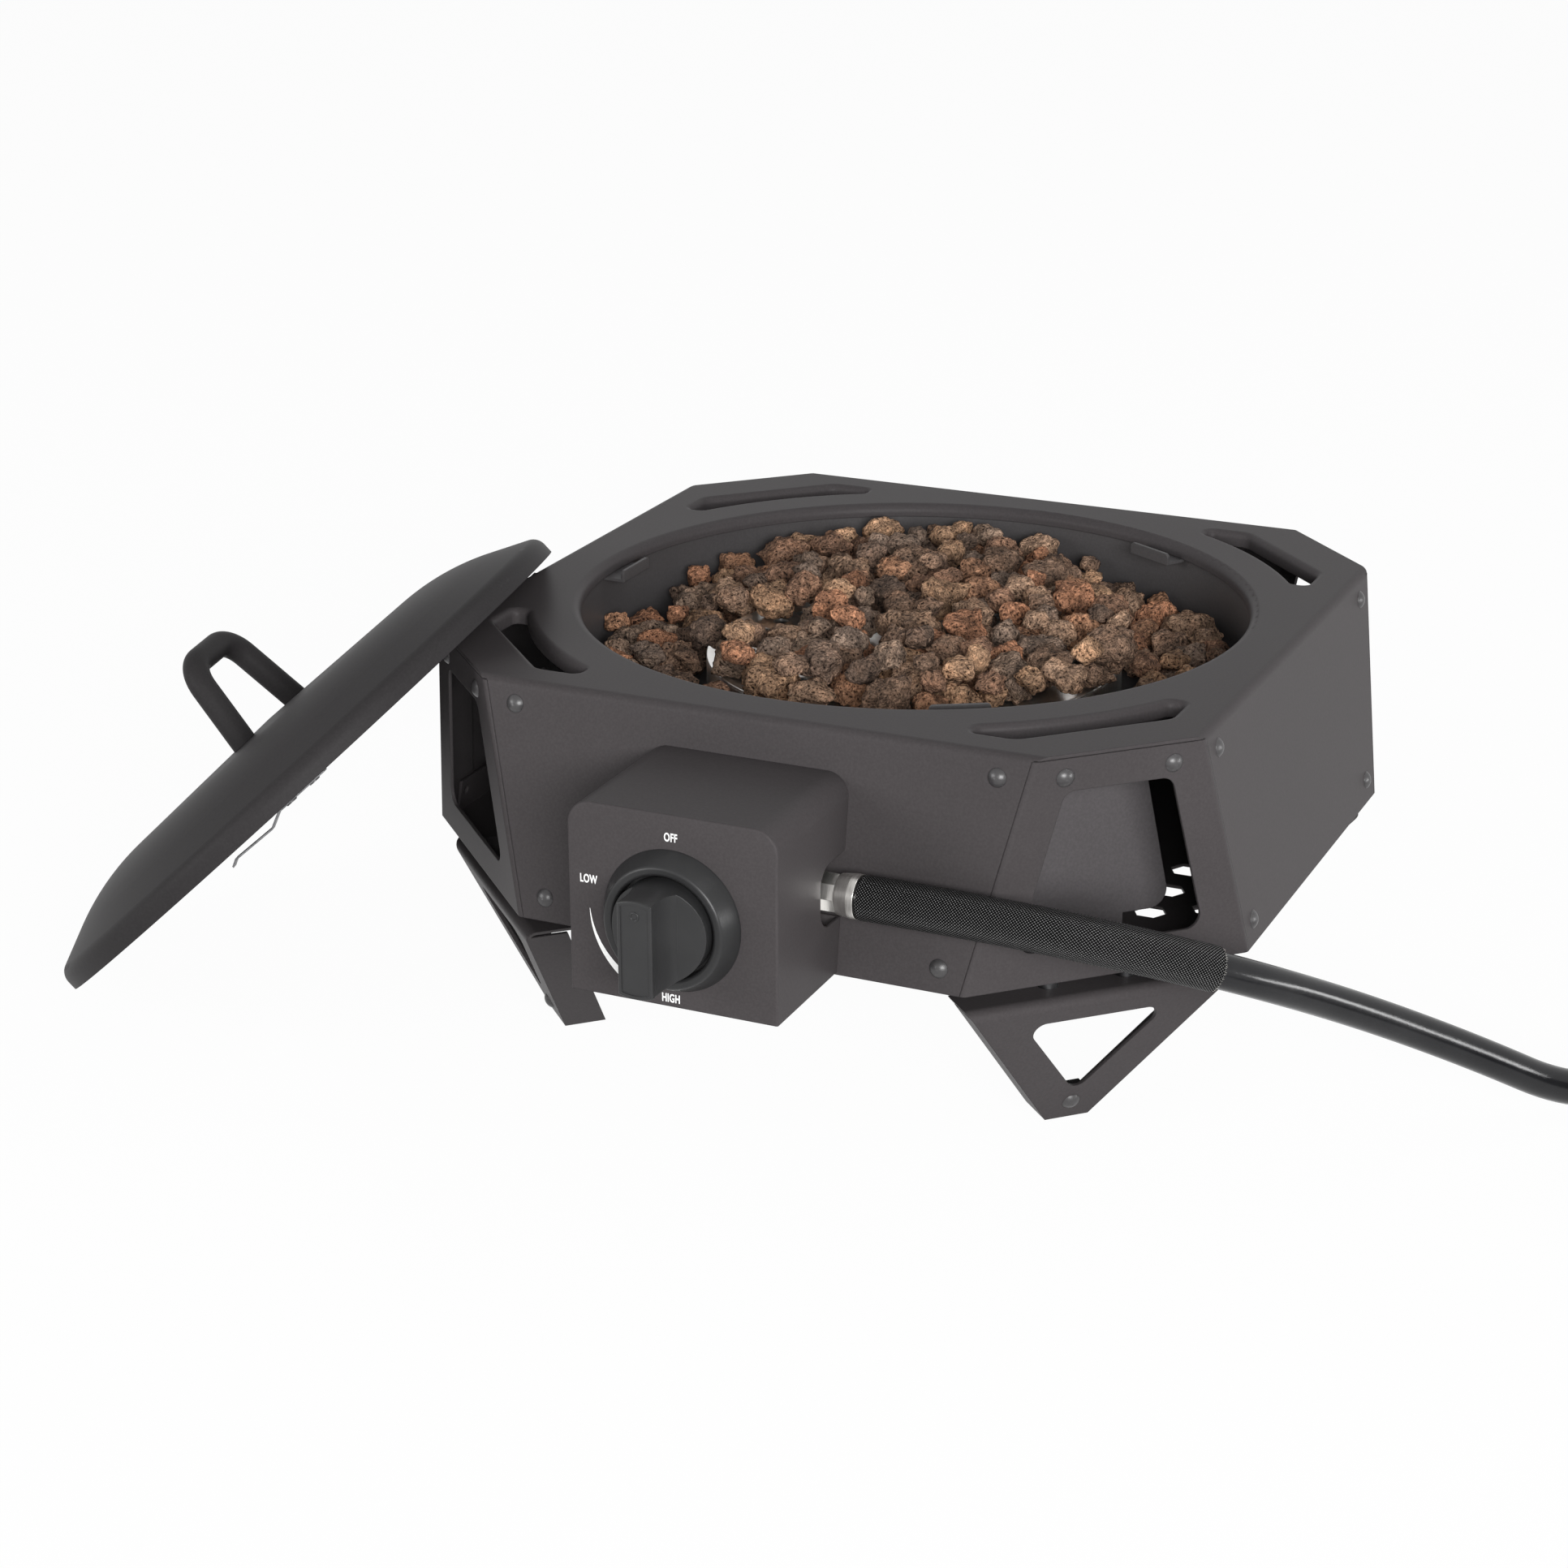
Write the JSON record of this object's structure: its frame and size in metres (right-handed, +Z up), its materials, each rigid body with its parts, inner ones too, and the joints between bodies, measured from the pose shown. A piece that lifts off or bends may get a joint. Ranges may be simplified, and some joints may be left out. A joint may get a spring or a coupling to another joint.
{
  "type": "portable gas fire pit",
  "caption": "Low octagonal sheet-metal gas fire pit on folded legs, with a bowl of lava rock over a drum burner, a push-and-turn control knob, a gas hose and a domed lid.",
  "frame": {"origin": "on the floor, under the centre of the octagonal body", "axes": "+Z up, -Y to the front where the control box is, +X to the right where the hose leaves"},
  "size_m": [0.9388, 0.4719, 0.2057],
  "materials": {
    "body_coat": "charcoal powder coat, satin with a fine grain",
    "fastener_coat": "charcoal coated rivet heads, satin",
    "shield_coat": "grey-black coated sheet, matte",
    "zinc_steel": "zinc plated steel",
    "spring_steel": "blued spring steel",
    "foot_rubber": "black rubber",
    "bowl_coat": "high-temperature black coat, matte",
    "burner_steel": "stainless sheet",
    "gas_brass": "machined brass",
    "valve_alloy": "die-cast alloy",
    "bezel_plastic": "black moulded plastic",
    "knob_plastic": "black moulded plastic, satin",
    "ferrule_nickel": "nickel plate",
    "sleeve_braid": "black glass-fibre braid",
    "hose_rubber": "black gas hose, satin",
    "tie_strap": "black strap",
    "regulator_alloy": "die-cast alloy, satin",
    "nut_plastic": "black moulded plastic",
    "lava_stone": "rough lava rock, brown, red and grey"
  },
  "bodies": {
    "pit": {"deck_shell": "body_coat", "panel_rivets": "fastener_coat", "corner_panel_fr": "body_coat", "corner_panel_br": "body_coat", "corner_panel_bl": "body_coat", "corner_panel_fl": "body_coat", "bottom_tray": "body_coat", "heat_shield_fr": "shield_coat", "heat_shield_br": "shield_coat", "heat_shield_bl": "shield_coat", "heat_shield_fl": "shield_coat", "leg_fr": "body_coat", "leg_br": "body_coat", "leg_bl": "body_coat", "leg_fl": "body_coat", "leg_spacers": "zinc_steel", "leg_rivets": "fastener_coat", "foot_rivets": "fastener_coat", "foot_pads": "foot_rubber", "fire_bowl": "bowl_coat", "bowl_tabs": "bowl_coat", "burner_pan": "burner_steel", "burner_top": "burner_steel", "burner_screws": "zinc_steel", "mixing_tube": "zinc_steel", "gas_jet": "gas_brass", "control_box": "body_coat", "knob_bezel": "bezel_plastic", "valve_body": "valve_alloy", "valve_screws": "zinc_steel", "inlet_nipple": "gas_brass", "hose_ferrule": "ferrule_nickel", "hose_sleeve": "sleeve_braid", "gas_hose": "hose_rubber", "hose_coil": "hose_rubber", "coil_tie": "tie_strap", "hose_end": "gas_brass", "regulator": "regulator_alloy", "lava_rocks": "lava_stone"},
    "knob_push": {"stem_washer": "zinc_steel"},
    "knob_turn": {"knob": "knob_plastic", "valve_stem": "zinc_steel"},
    "lid": {"lid": "body_coat", "lid_handle": "body_coat", "handle_screws": "fastener_coat", "lid_clips": "spring_steel", "clip_rivets": "fastener_coat"},
    "hand_nut": {"tank_nut": "nut_plastic"}
  },
  "joints": [
    {"name": "knob_push", "type": "slide", "parent": "pit", "child": "knob_push", "axis": [0, 1, 0], "range_m": [0, 0.003], "stiffness_N_per_m": 1200, "springref_m": -0.002},
    {"name": "knob_turn", "type": "hinge", "parent": "knob_push", "child": "knob_turn", "pos_m": [0, -0.25, 0.118], "axis": [0, -1, 0], "range_deg": [0, 180]},
    {"name": "lid_lift", "type": "slide", "parent": "pit", "child": "lid", "axis": [-0.6681, -0.1444, 0.7299], "range_m": [0, 0.25]},
    {"name": "hand_nut_spin", "type": "hinge", "parent": "pit", "child": "hand_nut", "pos_m": [0.43472, -0.22806, 0.0255], "axis": [-0.6247, -0.7809, 0], "continuous": true}
  ]
}
